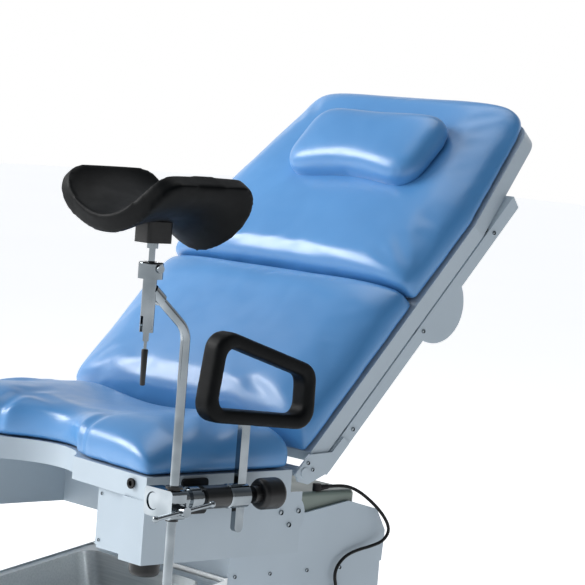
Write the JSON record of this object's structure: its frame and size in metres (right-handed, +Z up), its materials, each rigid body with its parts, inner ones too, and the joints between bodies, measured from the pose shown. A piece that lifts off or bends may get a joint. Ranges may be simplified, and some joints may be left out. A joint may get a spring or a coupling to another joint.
{
  "type": "medical exam table",
  "caption": "Gynaecological exam table with a padded reclining back, a cut-out seat on a lifting column, leg supports, a hand grip and a sliding basin.",
  "frame": {"origin": "on the floor, under the middle of the table's overall box, at the lowest lift position", "axes": "+X to the side of the table, +Y towards the head end, +Z up"},
  "size_m": [0.9752, 1.0037, 1.2521],
  "materials": {
    "blue_upholstery": "sky-blue synthetic leather, satin",
    "painted_steel": "pale blue-grey powder coat",
    "grey_housing": "green-grey paint, satin",
    "dark_steel": "dark grey paint",
    "brushed_steel": "ground steel",
    "stainless": "brushed stainless sheet",
    "chrome": "polished chrome plate",
    "black_rubber": "matt black rubber",
    "black_plastic": "black moulded plastic",
    "black_paint": "black semi-gloss paint",
    "black_foam": "black integral-skin foam",
    "black_upholstery": "black synthetic leather"
  },
  "bodies": {
    "base": {"base_plate": "dark_steel", "base_cover": "painted_steel", "inner_column": "brushed_steel", "feet": "black_rubber"},
    "lift": {"column_cover": "painted_steel", "carriage": "painted_steel", "carriage_housing": "grey_housing", "tilt_shaft": "brushed_steel", "basin_holder": "stainless", "glands": "black_rubber", "lead": "black_rubber"},
    "basin": {"basin": "stainless"},
    "seat": {"seat_tray": "painted_steel", "seat_cushion": "blue_upholstery", "side_aprons": "painted_steel", "front_posts": "painted_steel", "inner_aprons": "painted_steel", "cross_beam": "painted_steel", "socket_plugs": "black_rubber", "tilt_bearings": "painted_steel", "back_hinges": "painted_steel", "bar_bracket_right": "black_paint", "side_bar_right": "chrome", "rod_clamp_right": "chrome", "bar_bracket_left": "black_paint", "side_bar_left": "chrome", "rod_clamp_left": "chrome"},
    "back": {"back_frame": "painted_steel", "back_pan": "painted_steel", "buffers": "black_rubber", "lumbar_pad": "blue_upholstery", "back_pad": "blue_upholstery", "pillow": "blue_upholstery"},
    "post_knob_right": {"post_knob_right": "black_plastic"},
    "clamp_screw_right": {"clamp_screw_right": "chrome"},
    "rod_bush_right": {"rod_bush_right": "black_plastic"},
    "leg_rod_right": {"leg_rod_right": "chrome", "ball_housing_right": "chrome"},
    "ball_stem_right": {"ball_stem_right": "chrome"},
    "leg_pad_right": {"pad_mount_right": "black_plastic", "leg_pad_right": "black_upholstery"},
    "clamp_lever_right": {"clamp_lever_right": "chrome"},
    "handle_head_right": {"handle_head_right": "chrome"},
    "grip_right": {"grip_bar_right": "chrome", "foam_loop_right": "black_foam"},
    "handle_knob_right": {"handle_knob_right": "black_plastic"},
    "post_knob_left": {"post_knob_left": "black_plastic"},
    "clamp_screw_left": {"clamp_screw_left": "chrome"},
    "rod_bush_left": {"rod_bush_left": "black_plastic"},
    "leg_rod_left": {"leg_rod_left": "chrome", "ball_housing_left": "chrome"},
    "ball_stem_left": {"ball_stem_left": "chrome"},
    "leg_pad_left": {"pad_mount_left": "black_plastic", "leg_pad_left": "black_upholstery"},
    "clamp_lever_left": {"clamp_lever_left": "chrome"}
  },
  "joints": [
    {"name": "column_lift", "type": "slide", "parent": "base", "child": "lift", "axis": [0, 0, 1], "range_m": [0, 0.22]},
    {"name": "basin_slide", "type": "slide", "parent": "lift", "child": "basin", "axis": [0, -0.9816, -0.1908], "range_m": [0, 0.2]},
    {"name": "seat_tilt", "type": "hinge", "parent": "lift", "child": "seat", "pos_m": [0, -0.03251, 0.568], "axis": [1, 0, 0], "range_deg": [-5, 8]},
    {"name": "back_recline", "type": "hinge", "parent": "seat", "child": "back", "pos_m": [0, -0.01151, 0.635], "axis": [1, 0, 0], "range_deg": [-48, 14]},
    {"name": "post_knob_turn_right", "type": "hinge", "parent": "seat", "child": "post_knob_right", "pos_m": [0.275, -0.29351, 0.508], "axis": [0, 0, 1], "range_deg": [-180, 180]},
    {"name": "clamp_screw_turn_right", "type": "hinge", "parent": "seat", "child": "clamp_screw_right", "pos_m": [0.395, -0.33151, 0.608], "axis": [1, 0, 0], "range_deg": [-180, 180]},
    {"name": "rod_swivel_right", "type": "hinge", "parent": "seat", "child": "rod_bush_right", "pos_m": [0.375, -0.33151, 0.64], "axis": [0, 0, 1], "range_deg": [-60, 90]},
    {"name": "rod_height_right", "type": "slide", "parent": "rod_bush_right", "child": "leg_rod_right", "axis": [0, 0, 1], "range_m": [-0.05, 0.08]},
    {"name": "pad_tilt_right", "type": "hinge", "parent": "leg_rod_right", "child": "ball_stem_right", "pos_m": [0.375, -0.40451, 0.955], "axis": [1, 0, 0], "range_deg": [-20, 20]},
    {"name": "pad_swivel_right", "type": "hinge", "parent": "ball_stem_right", "child": "leg_pad_right", "pos_m": [0.375, -0.40451, 0.991], "axis": [0, 0, 1], "range_deg": [-60, 60]},
    {"name": "lever_swing_right", "type": "hinge", "parent": "leg_rod_right", "child": "clamp_lever_right", "pos_m": [0.375, -0.40451, 0.871], "axis": [1, 0, 0], "range_deg": [-90, 40]},
    {"name": "handle_lean_right", "type": "hinge", "parent": "seat", "child": "handle_head_right", "pos_m": [0.345, -0.18651, 0.615], "axis": [0, 1, 0], "range_deg": [-2, 25]},
    {"name": "handle_height_right", "type": "slide", "parent": "handle_head_right", "child": "grip_right", "axis": [0, 0, 1], "range_m": [-0.04, 0.03]},
    {"name": "handle_knob_turn_right", "type": "hinge", "parent": "handle_head_right", "child": "handle_knob_right", "pos_m": [0.345, -0.13151, 0.615], "axis": [0, 1, 0], "range_deg": [-180, 180]},
    {"name": "post_knob_turn_left", "type": "hinge", "parent": "seat", "child": "post_knob_left", "pos_m": [-0.275, -0.29351, 0.508], "axis": [0, 0, -1], "range_deg": [-180, 180]},
    {"name": "clamp_screw_turn_left", "type": "hinge", "parent": "seat", "child": "clamp_screw_left", "pos_m": [-0.395, -0.33151, 0.608], "axis": [-1, 0, 0], "range_deg": [-180, 180]},
    {"name": "rod_swivel_left", "type": "hinge", "parent": "seat", "child": "rod_bush_left", "pos_m": [-0.375, -0.33151, 0.64], "axis": [0, 0, -1], "range_deg": [-60, 90]},
    {"name": "rod_height_left", "type": "slide", "parent": "rod_bush_left", "child": "leg_rod_left", "axis": [0, 0, 1], "range_m": [-0.05, 0.08]},
    {"name": "pad_tilt_left", "type": "hinge", "parent": "leg_rod_left", "child": "ball_stem_left", "pos_m": [-0.375, -0.40451, 0.955], "axis": [1, 0, 0], "range_deg": [-20, 20]},
    {"name": "pad_swivel_left", "type": "hinge", "parent": "ball_stem_left", "child": "leg_pad_left", "pos_m": [-0.375, -0.40451, 0.991], "axis": [0, 0, -1], "range_deg": [-60, 60]},
    {"name": "lever_swing_left", "type": "hinge", "parent": "leg_rod_left", "child": "clamp_lever_left", "pos_m": [-0.375, -0.40451, 0.871], "axis": [1, 0, 0], "range_deg": [-90, 40]}
  ]
}
